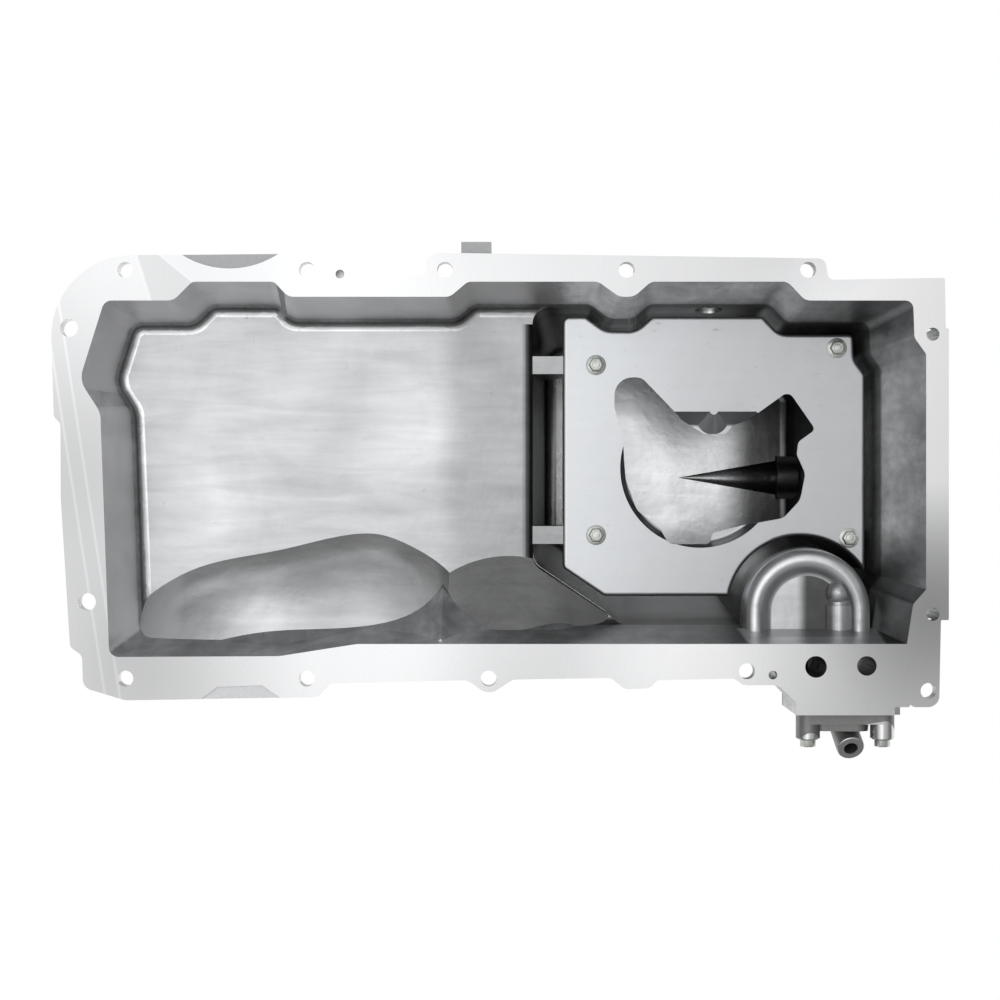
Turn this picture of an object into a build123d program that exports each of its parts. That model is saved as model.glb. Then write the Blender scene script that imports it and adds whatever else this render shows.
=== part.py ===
from build123d import *
import os
from math import atan, cos, degrees, radians, sqrt, tan

# Cast aluminium oil pan for a vee engine: machined rail, shallow front tray, deep rear sump,
# filter turret and oil passages, with its baffle plate, side cover, bypass valve and plugs.
# Millimetres. +X runs to the rear of the engine, +Z up. The origin is the centre of the four
# front rail bolts, on the machined rail face.

# Rail and its bolts
bore_pitch = 111.76             # spacing of the crank bays, which spaces the rail bolts
row_y = 125.8                   # bolt rows, either side of the centre line
rail_thickness = 12.0
rail_hole_d = 9.8
nose_hole_d = 11.0
rear_hole_d = 8.0
ear_reach = 10.2                # rail metal outside a bolt row
edge_radius = 0.8
upper_third_x = 140.9           # third bolt of the upper row
lower_last_x = 438.5            # last bolt of the lower row
lower_last_drop = 7.6           # that bolt lies this far outside its row
lower_fourth_rise = 4.5         # and the one before it this far inside
nose_x = -95.6                  # front edge of the rail
nose_bolts = [(-90.5, 90.0), (-79.5, -78.6)]
rear_bolt_x = 441.2
rear_bolt_y = 86.2
rear_face_x = 451.0             # machined face towards the clutch housing
rear_face_half = 89.8
rear_step = 4.5                 # the rail beside that face stands back this far
clip_hole_d = 5.4
clip_holes = [(76.2, 123.2), (342.7, -123.6)]
clip_hole_depth = 9.0

# Cavity
wall = 5.0
tray_depth = 66.0
sump_depth = 200.0
side_run = 28.1                 # the walls lean in this far on the way down to the sump's floor
front_run = 17.5
rear_run = 57.4
floor_thickness = 6.0
floor_radius = 8.0
corner_softening = 4.0          # corner radii grow by this much at the floors
lip_radius = 7.0                # rounded edge where the tray floor drops into the sump
lip_end_gap = 11.4              # it stops this far short of the side walls
opening_y = 104.5               # cavity side, lower row
opening_upper_y = 106.9
bay_y = 118.5                   # cavity side between the bolt ears, upper row
ear_inner_y = 109.2
opening_front_x = -65.8
opening_rear_x = 437.0
sump_front_x = 189.9            # the sump's front wall, carried up to the rail face
sump_corner_y = -64.2           # where the sump's corner is cut off
sump_corner_x = 249.6

# Clearance humps that rise from the tray floor into the lower side wall
hump_outline = [(-74.0, -99.0), (-58.2, -82.5), (-21.3, -59.9), (32.4, -48.2), (75.7, -38.5), (97.1, -38.2),
                (118.4, -46.3), (140.4, -61.2), (153.0, -84.0)]
hump_middle_x = 70.0
hump_stages = [(0, 0, 1.0), (8.0, 17.0, 0.93), (14.0, 36.0, 0.86), (18.0, 60.0, 0.8)]   # rise, run, share of width
hump_back_y = -180.0
hump2_centre = (180.7, -126.0)
hump2_radius = 74.0
hump2_angle = 27.0
hump2_height = 30.0
# The side wall leans in behind the humps: its line at a depth, and how far it leans back per millimetre
lean_depth = 50.0
lean_slope = 0.6
lean_line = [(-75.0, -113.0), (-19.0, -109.0), (13.0, -101.5), (55.0, -97.5), (98.0, -94.0), (124.0, -87.0),
             (138.0, -77.0)]
lean_line2 = [(138.0, -77.0), (150.0, -89.0), (183.0, -94.5), (208.0, -94.5), (238.0, -116.0)]

# Filter turret, with the filter's alcove under it
turret_x = 370.2
turret_y = -86.9
ridge_radius = 33.0
ridge_half = 7.0
ridge_top = 38.0                # depth of the ridge's crest below the rail face
ridge_foot_r = 4.0
recess_depth = 46.0
turret_foot_radius = 48.0
filter_radius = 38.0
filter_clearance = 2.2
pad_depth = 66.5                # machined filter face
ceiling_depth = 64.0            # as-cast ceiling round the filter face
alcove_draft = 1.6
annulus_inner = 14.0
annulus_outer = 29.0
annulus_height = 3.0
nipple_radius = 10.0
nipple_seat_r = 9.0
nipple_neck = 1.0               # relief between the face and the thread
nipple_lead = 1.0               # the hole's countersink is this much wider than the thread
nipple_bore = 6.0
nipple_reach = 22.0
nipple_seat = 9.5

# Oil passages between the rail, the filter and the side cover
return_port = (369.2, -118.6)
return_port_r = 6.65
feed_port = (400.5, -118.0)
feed_port_r = 6.0
feed_x = 390.7
feed_depth = 50.0
feed_r = 5.5
return_depth = 54.0
return_r = 4.5
gallery_boss_r = 9.5
gallery_ball_r = 8.4
gallery_ball_y = -75.0
side_face_y = -148.4            # machined face for the cover
side_face_x = (356.9, 421.5)
block_top = 3.0
block_bottom = 64.0
block_margin = 4.0              # metal round the alcove
block_flare = 8.0
cup_plug_r = 6.2
cup_plug_depth = 4.0

# Cover, gasket and their bolts
cover_bolts_x = (366.8, 413.2)
cover_bolt_depth = 18.0
gasket_thickness = 0.8
cover_plate = 6.0
cover_ear_r = 7.5
cover_ear_length = 15.0
chamber_r = 8.5
chamber_wall = 4.5
chamber_height = 5.0
cover_dome = 11.0
port_base = (391.8, -157.2, -41.0)
port_tip = (394.0, -171.2, -20.0)
port_r = 8.6
port_bore_r = 4.4
port_bore_length = 36.0

# Bypass valve, behind the cover
valve_x = 378.0
valve_depth = 30.0
valve_bore_r = 7.5
valve_bore_length = 22.0
valve_link_r = 4.0
valve_seat_inset = 1.0
valve_seat_length = 3.0
valve_seat_hole_r = 4.2
valve_disc_length = 4.0
valve_play = 0.3
valve_rest_gap = 0.1
spring_radius = 5.2
spring_wire = 0.9
spring_turns = 5

# Baffle plate
baffle_drop = 4.0               # the plate's top lies this far below the tray floor
baffle_depth = tray_depth + baffle_drop
baffle_gauge = 1.5
baffle_lip = 9.0
baffle_bend = 2.4
baffle_gap = 5.4                # to the sump's upper and rear walls
baffle_front_gap = 19.5
baffle_lower_gap = 16.5
baffle_corner_gap = 8.0
baffle_turret_gap = 3.7
dish_centre = (304.5, 4.9)
dish_radius = 52.0
dish_chord_y = 42.0
dish_chord_run = 9.0
dish_side_run = 3.5
dish_depth = 9.0
flute_x = 313.5
flute_r = 11.5
flute_tip_r = 2.5
flute_run = 5.0                 # its foot stands this far in from the chord
# Pickup opening, from the dish's centre: x, y, corner radius
pickup_outline = [
    (-55.5, 58.8, 11.7), (-37.9, 58.8, 8.0), (-11.8, 31.7, 6.5), (3.2, 22.3, 3.0), (17.6, 22.3, 3.0),
    (22.1, 27.8, 4.0), (31.2, 31.1, 5.0), (57.7, 50.0, 5.0), (74.9, 24.9, 3.0), (63.8, 17.0, 5.0),
    (62.9, 8.6, 4.0), (68.4, -3.8, 9.0), (65.1, -20.8, 12.0), (54.1, -32.5, 8.0), (30.6, -36.8, 6.0),
    (9.1, -42.3, 2.0), (7.1, -49.5, 4.0), (-20.3, -49.5, 5.0), (-24.8, -39.7, 4.0), (-40.5, -27.3, 9.0),
    (-47.6, -7.7, 12.0), (-50.3, 20.9, 12.0), (-55.5, 39.2, 6.0),
]
front_pillars = [(237.0, 71.7), (237.0, -38.6)]
rear_pillars = [(393.3, 82.7), (401.1, -40.5)]
pillar_r = 7.5
rear_pillar_r = 5.5
bridge_width = 11.5
bridge_height = 75.0

# Flange bolts, M6
m6_r = 3.0
m6_hex = 8.6
m6_flange_r = 6.5
m6_flange = 1.4
m6_head = 5.6
tapped_clearance = 0.05
baffle_bolt_length = 14.0
cover_bolt_grip = 14.0

# Drain
drain_y = 0.0
drain_rise = 4.5                # the drain's axis above the sump's floor
drain_depth = sump_depth - drain_rise
drain_r = 10.0
drain_boss_r = 15.0
drain_boss_inner_x = 370.0
drain_seat_x = 394.0
groove_tip_x = 301.7
groove_end_r = 17.0
plug_length = 20.0
plug_hex = 22.0
plug_head = 9.0
plug_flange_r = 14.0
plug_flange = 3.0
seal_thickness = 1.5
keel_drop = 11.0
keel_depth = sump_depth + keel_drop     # lowest plane, on the keel and the skid ribs
keel_end_half = 6.0
skid_width = 7.0
skid_ribs = [(-58.0, 236.0, 322.0), (-30.0, 206.0, 328.0), (32.0, 206.0, 378.0), (62.0, 206.0, 378.0)]

# Oil level port in the upper wall of the sump
level_x = 310.7
level_depth = 76.0
level_r = 8.75
level_boss_r = 14.5
level_face_y = 121.0
level_inner_y = 100.0
level_plug_length = 14.0
level_hex = 19.0
level_head = 8.0
level_flange_r = 12.5

# Outside ribs, lug and rear pad
web = 5.0
tray_webs_y = (-32.0, 28.0, 84.0)
tray_web_foot = 50.0            # they end this far above the sump's floor
rear_webs_y = (-66.0, 0.0, 66.0)
rear_web_length = 80.0
rear_pad_top = 4.0
rear_pad_depth = 44.0
rear_pad_slope = 18.0
rear_pad_tail = 30.0
housing_hole_y = 72.0
housing_hole_depth = 27.0
housing_hole_r = 5.1
housing_hole_length = 16.0
lug_x = (150.6, 169.4)
lug_y = 144.7
lug_top = 13.0
lug_end_height = 20.0
lug_bottom = 46.0

# Bolt positions worked out from the sizes above
front_x = -bore_pitch / 2
second_x = bore_pitch / 2
upper_fourth_x = upper_third_x + bore_pitch
upper_fifth_x = upper_fourth_x + bore_pitch
lower_third_x = second_x + bore_pitch
lower_fourth_x = lower_last_x - bore_pitch
m8_bolts = [
    (front_x, row_y), (second_x, row_y), (upper_third_x, row_y),
    (upper_fourth_x, row_y), (upper_fifth_x, row_y),
    (front_x, -row_y), (second_x, -row_y), (lower_third_x, -row_y),
    (lower_fourth_x, -row_y + lower_fourth_rise), (lower_last_x, -row_y - lower_last_drop),
]
rear_bolts = [(rear_bolt_x, rear_bolt_y), (rear_bolt_x, -rear_bolt_y)]
baffle_bolts = front_pillars + rear_pillars
alcove_r = filter_radius + filter_clearance
chamber_spots = [(valve_x, -valve_depth), (feed_x, -feed_depth)]
side_draft = degrees(atan(side_run / sump_depth))
front_draft = degrees(atan(front_run / sump_depth))
rear_draft = degrees(atan(rear_run / sump_depth))

# Outline of the rail, counter-clockwise from the lower front corner: x, y, corner radius
edge = row_y + ear_reach
rear_edge = rear_face_x - rear_step
rail_outline = [
    (nose_x + 5.7, -106.5, 5), (front_x - 26.7, -111.5, 5), (front_x - 26.0, 4.6 - edge, 7),
    (front_x, -edge - 3.2, 12), (second_x + 6.8, -edge - 1.3, 7),
    (second_x + 14.8, -row_y - 2.9, 5), (lower_third_x - 12.9, -row_y - 1.0, 7),
    (lower_third_x, -edge - 0.2, 9), (lower_third_x + 15.1, -row_y - 0.6, 7),
    (242.7, -row_y + 0.4, 6), (251.7, -row_y - 6.6, 6), (266.7, -row_y - 6.0, 5),
    (271.7, -row_y - 1.0, 4), (lower_fourth_x - 8.0, -row_y, 6),
    (lower_fourth_x - 2.0, -row_y - 4.2, 8), (side_face_x[0] - 10.7, -row_y - 4.0, 9),
    (side_face_x[0], -140.5, 2), (side_face_x[0], side_face_y, edge_radius),
    (side_face_x[1] - 3.8, side_face_y, edge_radius),
    (side_face_x[1] - 3.8, -row_y - 17.6, edge_radius),
    (rear_edge - 1.5, -row_y - 17.6, 7), (rear_edge - 0.4, -rear_face_half, edge_radius),
    (rear_face_x, -rear_face_half, edge_radius), (rear_face_x, rear_face_half, edge_radius),
    (rear_edge + 2.6, rear_face_half, edge_radius), (rear_edge + 2.1, row_y - 4.9, 1.5),
    (upper_fifth_x + 12.7, row_y - 6.2, 4), (upper_fifth_x + 10.3, edge - 3.2, 5),
    (upper_third_x - 11.4, edge + 0.4, 8), (upper_third_x - 12.0, row_y - 3.5, 2.5),
    (second_x + 38.3, row_y - 3.8, 6), (second_x + 30.8, row_y + 3.9, 6),
    (second_x + 10.8, row_y + 4.2, 8), (second_x + 1.8, edge - 0.1, 7),
    (nose_x - 7.3, edge - 1.6, 50), (nose_x - 4.3, 35.0, 5), (nose_x - 0.2, 31.5, 5),
    (nose_x, -15.0, 60),
]

# Outline of the cavity at the rail face, counter-clockwise:
# x, y, corner radius, draft of the side that leaves the corner
lower_ear = [(opening_rear_x - 11.8, -opening_y), (opening_rear_x - 8.0, -80), (opening_rear_x, -71)]
rear_sides = [
    (opening_rear_x, 74, 4, rear_draft),
    (opening_rear_x - 7.2, 84, 6, rear_draft), (opening_rear_x - 8.0, opening_upper_y, 5, side_draft),
    (upper_fifth_x - 1.7, opening_upper_y, 7, side_draft), (upper_fifth_x - 12.7, bay_y, 7, side_draft),
    (upper_fourth_x + 15.1, bay_y, 7, side_draft), (upper_fourth_x + 4.5, ear_inner_y, 9, side_draft),
    (upper_fourth_x - 4.5, ear_inner_y, 9, side_draft), (upper_fourth_x - 17.5, bay_y, 7, side_draft),
]
opening_outline = [
    (opening_front_x, -opening_y - 8, 6, side_draft), (second_x - 17.2, -opening_y - 7.5, 30, side_draft),
    (second_x + 30.8, -opening_y, 30, side_draft), (sump_corner_x + 25, -opening_y, 5, 0),
    (sump_front_x + 35, bay_y, 5, side_draft),
    (upper_third_x + 14.0, bay_y, 6, side_draft), (upper_third_x + 3.0, ear_inner_y, 8, side_draft),
    (second_x - 11.7, ear_inner_y, 8, side_draft), (second_x - 20.2, bay_y, 5, side_draft),
    (front_x + 41.1, bay_y, 5, side_draft), (front_x + 29.6, opening_upper_y, 9, side_draft),
    (front_x - 12.9, opening_upper_y, 6, side_draft), (front_x - 28.2, 58, 14, side_draft),
    (front_x - 15.4, 38, 14, side_draft),
]
sump_outline = [
    (sump_corner_x, -opening_y, 10, side_draft), (opening_rear_x, -opening_y, 12, rear_draft),
] + rear_sides + [
    (sump_front_x, bay_y, 10, front_draft), (sump_front_x, sump_corner_y, 10, side_draft),
]
# The bolt ear in the sump's lower rear corner, outside the sump outline
ear_run = 33.0
ear_slope = (lower_ear[2][1] - lower_ear[1][1]) / (lower_ear[2][0] - lower_ear[1][0])
ear_outline = [
    (lower_ear[0][0], -opening_y - 10, 1, 0), (opening_rear_x + ear_run, -opening_y - 10, 1, 0),
    (opening_rear_x + ear_run, lower_ear[2][1] + ear_run * ear_slope, 1, -rear_draft),
    (*lower_ear[1], 6, -rear_draft), (*lower_ear[0], 5, -rear_draft),
]


def side_lines(corners, insets):
    # Each side of an outline as a point and a direction, moved inwards by its inset
    lines = []
    for index, corner in enumerate(corners):
        start = Vector(corner[0], corner[1])
        following = corners[(index + 1) % len(corners)]
        along = (Vector(following[0], following[1]) - start).normalized()
        inward = Vector(-along.Y, along.X)
        lines.append((start + inward * insets[index], along))
    return lines


def crossing(first, second):
    # Where two side lines meet
    apart = second[0] - first[0]
    turn = first[1].X * second[1].Y - first[1].Y * second[1].X
    along = (apart.X * second[1].Y - apart.Y * second[1].X) / turn
    return first[0] + first[1] * along


def moved_corners(corners, insets):
    lines = side_lines(corners, insets)
    return [crossing(lines[index - 1], lines[index]) for index in range(len(corners))]


def corners_at(corners, depth, grow):
    # The outline at a depth: each side moves in by its draft, and out by a wall
    return moved_corners(corners, [depth * tan(radians(c[3])) - grow for c in corners])


def radii_at(corners, grow, softening, least=1.0):
    # Outward corners grow with the wall, and inward ones shrink with it
    lines = side_lines(corners, [0] * len(corners))
    radii = []
    for index, corner in enumerate(corners):
        before, after = lines[index - 1][1], lines[index][1]
        outward = before.X * after.Y - before.Y * after.X > 0
        radii.append(max(corner[2] + softening + (grow if outward else -grow), least))
    return radii


def rounded_edges(points, radii):
    # Closed outline with a radius at each corner
    with BuildLine(Plane.XY) as outline:
        FilletPolyline(*points, radius=radii, close=True)
    return outline.edges()


def drafted_block(corners, top, bottom, grow, softening):
    # Solid between two depths of a drafted outline
    with BuildPart() as block:
        with BuildSketch(Plane.XY.offset(-top)):
            make_face(rounded_edges(corners_at(corners, top, grow), radii_at(corners, grow, 0)))
        with BuildSketch(Plane.XY.offset(-bottom)):
            make_face(rounded_edges(corners_at(corners, bottom, grow),
                                    radii_at(corners, grow, softening)))
        loft(ruled=True)
    return block.part


def front_hump(drop):
    # Dome that rises from the tray floor in stages, ever more gently
    with BuildPart() as dome:
        for rise, run, share in hump_stages:
            points = [(hump_middle_x + (x - hump_middle_x) * share, y - run) for x, y in hump_outline]
            with BuildSketch(Plane.XY.offset(-tray_depth - drop + rise)):
                with BuildLine():
                    Spline(*points)
                    Polyline(points[-1], (points[-1][0], hump_back_y), (points[0][0], hump_back_y), points[0])
                make_face()
        loft()
    return dome.part


def second_hump(drop):
    # Cone frustum that rises from the tray floor
    with BuildPart() as cone:
        with BuildSketch(Plane.XY.offset(-tray_depth - drop)):
            with Locations(hump2_centre):
                Circle(hump2_radius)
        with BuildSketch(Plane.XY.offset(-tray_depth - drop + hump2_height)):
            with Locations(hump2_centre):
                Circle(hump2_radius - hump2_height / tan(radians(hump2_angle)))
        loft(ruled=True)
    return cone.part


def leaning_wall(back, bottom, top):
    # Slanted prism behind the humps, moved back by a wall for the outside
    lean = (bottom - lean_depth) * lean_slope - back
    first, second = ([(x, y + lean) for x, y in line] for line in (lean_line, lean_line2))
    with BuildPart() as prism:
        with BuildSketch(Plane.XY.offset(-bottom)):
            with BuildLine():
                Spline(*first)
                Spline(*second)
                Polyline(second[-1], (second[-1][0], hump_back_y), (first[0][0], hump_back_y), first[0])
            make_face()
        extrude(amount=bottom - top, dir=(0, -lean_slope, 1))
    return prism.part


def flange_bolt(seat, radius, length, hexagon, flange_r, flange, head):
    # Hexagon flange bolt; the seat plane's Z points out of the head
    with BuildPart() as bolt:
        with BuildSketch(seat.offset(-length)):
            Circle(radius)
        extrude(amount=length)
        with BuildSketch(seat):
            Circle(flange_r)
        extrude(amount=flange, taper=12)
        with BuildSketch(seat.offset(flange)):
            RegularPolygon(hexagon / 2, 6, major_radius=False)
        extrude(amount=head - flange)
        chamfer(bolt.faces().sort_by(Axis(seat.origin, seat.z_dir))[-1].edges(), length=0.5)
    return bolt.part


def hull_of(spots):
    # Outline stretched round circles given as x, y and radius
    with BuildSketch(Plane.XY) as shape:
        for x, y, radius in spots:
            with Locations((x, y)):
                Circle(radius)
        make_hull()
    return shape.sketch


def web_plate(y, points):
    # Flat web of the casting in an X-Z plane
    with BuildPart() as plate:
        with BuildSketch(Plane.XZ.offset(-y)):
            with BuildLine():
                Polyline(*points, close=True)
            make_face()
        extrude(amount=web / 2, both=True)
    return plate.part


def ring(seat, outer, inner, thickness):
    with BuildPart() as washer:
        with BuildSketch(seat):
            Circle(outer)
            Circle(inner, mode=Mode.SUBTRACT)
        extrude(amount=thickness)
    return washer.part


def finish(part, label):
    part.label = label
    export_step(part, "parts/" + label + ".step")


os.makedirs("parts", exist_ok=True)

side_face = Plane(origin=(0, side_face_y, 0), x_dir=(1, 0, 0), z_dir=(0, -1, 0))
drain_face = Plane(origin=(drain_seat_x, drain_y, -drain_depth), x_dir=(0, 1, 0), z_dir=(1, 0, 0))
level_face = Plane(origin=(level_x, level_face_y, -level_depth), x_dir=(-1, 0, 0), z_dir=(0, 1, 0))
filter_face = Plane(origin=(turret_x, turret_y, -pad_depth), x_dir=(1, 0, 0), z_dir=(0, 0, -1))

# Cavity core: the tray with its humps, and the sump
tray_core = drafted_block(opening_outline, 0, tray_depth, 0, corner_softening)
with BuildPart() as sump_core:
    add(drafted_block(sump_outline, 0, sump_depth, 0, corner_softening))
    fillet(sump_core.faces().sort_by(Axis.Z)[0].edges(), radius=floor_radius)

with BuildPart() as turret:
    # Ridge over the filter: a revolved arch, carried straight on to the side wall
    ridge_x = turret_x + ridge_radius
    crest = -ridge_top - ridge_half
    foot_rise = crest + recess_depth - ridge_foot_r
    foot_run = sqrt((ridge_half + ridge_foot_r) ** 2 - foot_rise ** 2)
    touch = ridge_half / (ridge_half + ridge_foot_r)
    touch_spot = (ridge_x - foot_run * touch, crest - foot_rise * touch)
    foot_spot = (ridge_x - foot_run, -recess_depth)
    with BuildSketch(Plane.XZ.offset(-turret_y)) as arch:
        with BuildLine():
            outer_foot = (turret_x + turret_foot_radius, -sump_depth - 1)
            shoulder = (ridge_x + ridge_half, crest)
            Polyline(foot_spot, (turret_x, -recess_depth), (turret_x, -sump_depth - 1), outer_foot, shoulder)
            ThreePointArc(shoulder, (ridge_x, -ridge_top), touch_spot)
            TangentArc(foot_spot, touch_spot, tangent=(1, 0))
        make_face()
    revolve(axis=Axis((turret_x, turret_y, 0), (0, 0, 1)))
    with BuildSketch(Plane.XZ.offset(-turret_y)):
        add(arch.sketch)
        mirror(arch.sketch, about=Plane.YZ.offset(turret_x))
    extrude(amount=45)

# Rounded lip where the tray floor drops into the sump
lip_corners = corners_at(sump_outline, tray_depth, 0)
lip_start = lip_corners[-2] - Vector(0, lip_end_gap)
lip_end = lip_corners[0] + (lip_corners[-1] - lip_corners[0]).normalized() * lip_end_gap
lip_foot = lip_radius * tan(radians(front_draft))
lip_rise = -lip_radius * (1 - cos(radians(45)))
with BuildLine(Plane.XY.offset(-tray_depth)) as lip_path:
    FilletPolyline(lip_start, lip_corners[-1], lip_end, radius=sump_outline[-1][2])
with BuildPart() as lip:
    with BuildSketch(Plane((lip_start.X, lip_start.Y, -tray_depth), x_dir=(1, 0, 0), z_dir=(0, -1, 0))):
        with BuildLine() as section:
            ThreePointArc((-lip_radius, 0), (lip_rise, lip_rise), (lip_foot, -lip_radius))
            Polyline((lip_foot, -lip_radius), (lip_radius / 2, -lip_radius), (lip_radius / 2, 0.1),
                     (-lip_radius, 0.1), (-lip_radius, 0))
        make_face(section.edges())
    sweep(path=lip_path.line)

with BuildPart() as core:
    add(tray_core)
    fillet(core.faces().sort_by(Axis.Z)[0].edges(), radius=floor_radius)
    add(front_hump(0), mode=Mode.SUBTRACT)
    add(second_hump(0), mode=Mode.SUBTRACT)
    add(leaning_wall(0, tray_depth + 1, -1), mode=Mode.SUBTRACT)
    add(sump_core.part)
    add(lip.part)
    add(drafted_block(ear_outline, 0, sump_depth, 0, 0), mode=Mode.SUBTRACT)
    add(turret.part, mode=Mode.SUBTRACT)

# Outer body, one wall outside the core
with BuildPart() as tray_body:
    add(drafted_block(opening_outline, 2, tray_depth + wall, wall, corner_softening))
    fillet(tray_body.faces().sort_by(Axis.Z)[0].edges(), radius=floor_radius + 3)
    add(front_hump(wall + 0.4), mode=Mode.SUBTRACT)
    add(second_hump(wall + 0.6), mode=Mode.SUBTRACT)
    add(leaning_wall(wall + 0.8, tray_depth + wall + 1, rail_thickness + 3), mode=Mode.SUBTRACT)

with BuildPart() as sump_body:
    add(drafted_block(sump_outline, 2, sump_depth + floor_thickness, wall, corner_softening))
    fillet(sump_body.faces().sort_by(Axis.Z)[0].edges(), radius=floor_radius + 3)
    add(drafted_block(ear_outline, rail_thickness, sump_depth + floor_thickness, -wall, 0),
        mode=Mode.SUBTRACT)

# Alcove for the filter: a drafted half round, open to the side and below
with BuildPart() as alcove:
    foot = alcove_r + (keel_depth - ceiling_depth) * tan(radians(alcove_draft))
    for depth, half in ((ceiling_depth, alcove_r), (keel_depth + 1, foot)):
        with BuildSketch(Plane.XY.offset(-depth)):
            with Locations((turret_x, turret_y)):
                Circle(half)
                Rectangle(2 * half, 75, align=(Align.CENTER, Align.MAX))
    loft(ruled=True)

with BuildPart() as bosses:
    # Baffle pillars: two on bridge ribs from the sump's front wall, two against its rear wall
    pillar_top = baffle_depth + baffle_gauge
    for x, y in front_pillars:
        with BuildSketch(Plane.XZ.offset(-y)):
            with BuildLine():
                Polyline((sump_front_x, -pillar_top), (x, -pillar_top), (x, -pillar_top - 20),
                         (sump_front_x + 14, -pillar_top - bridge_height),
                         (sump_front_x, -pillar_top - bridge_height - 10), close=True)
            make_face()
        extrude(amount=bridge_width / 2, both=True)
        with BuildSketch(Plane.XY.offset(-pillar_top)):
            with Locations((x, y)):
                Circle(pillar_r)
        extrude(amount=-24, taper=-1)
    with BuildSketch(Plane.XY.offset(-pillar_top)):
        with Locations(rear_pillars):
            Circle(rear_pillar_r)
    extrude(amount=-110)
    # Drain boss on the floor and the cast-in oil gallery in the turret's recess
    with BuildSketch(Plane.YZ.offset(drain_boss_inner_x)):
        with Locations((drain_y, -drain_depth)):
            Circle(drain_boss_r)
    extrude(amount=14)
    add(sump_body.part, mode=Mode.INTERSECT)

with BuildPart() as gallery:
    with Locations((feed_x - 0.5, gallery_ball_y, -feed_depth + 1.5)):
        Sphere(gallery_ball_r, rotation=(90, 0, 0))
    with BuildSketch(Plane.XZ.offset(-gallery_ball_y - 2)):
        with Locations((feed_x, -feed_depth)):
            Circle(gallery_ball_r - 0.8)
    extrude(amount=14)
    with BuildSketch(Plane.XZ.offset(-gallery_ball_y + 8)):
        with Locations((feed_x, -feed_depth)):
            Circle(gallery_boss_r)
    extrude(amount=30)

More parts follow.
